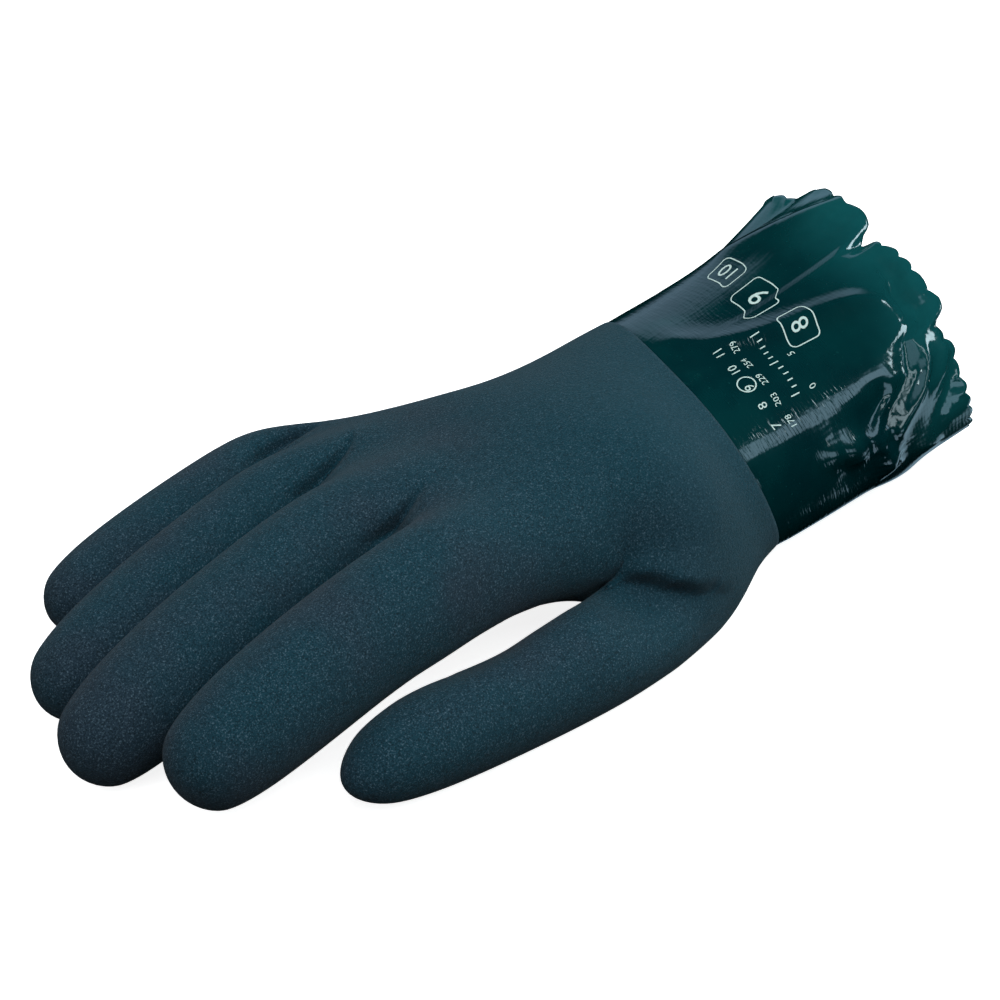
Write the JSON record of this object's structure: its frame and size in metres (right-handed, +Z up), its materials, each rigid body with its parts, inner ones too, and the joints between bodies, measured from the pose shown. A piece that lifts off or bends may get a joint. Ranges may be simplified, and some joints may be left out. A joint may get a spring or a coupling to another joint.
{
  "type": "pvc coated work glove",
  "caption": "Right-hand PVC coated gauntlet work glove lying palm down, sandy blue-green hand, gloss green crumpled cuff with a scalloped edge and a pale knit lining.",
  "frame": {"origin": "bottom centre of the bounding box, on the surface the glove lies on", "axes": "+X runs from the fingertips to the cuff's mouth, -Y is the thumb side, +Z is up, out of the back of the hand"},
  "size_m": [0.2468, 0.1244, 0.0627],
  "materials": {
    "sandy_pvc": "matte sandy",
    "gloss_pvc": "high gloss",
    "knit": "fine knit"
  },
  "bodies": {
    "root": {"hand_shell": "sandy_pvc", "index_shell": "sandy_pvc", "middle_shell": "sandy_pvc", "ring_shell": "sandy_pvc", "little_shell": "sandy_pvc", "thumb_shell": "sandy_pvc", "gauntlet_cuff": "gloss_pvc", "cuff_lining": "knit"}
  },
  "joints": []
}
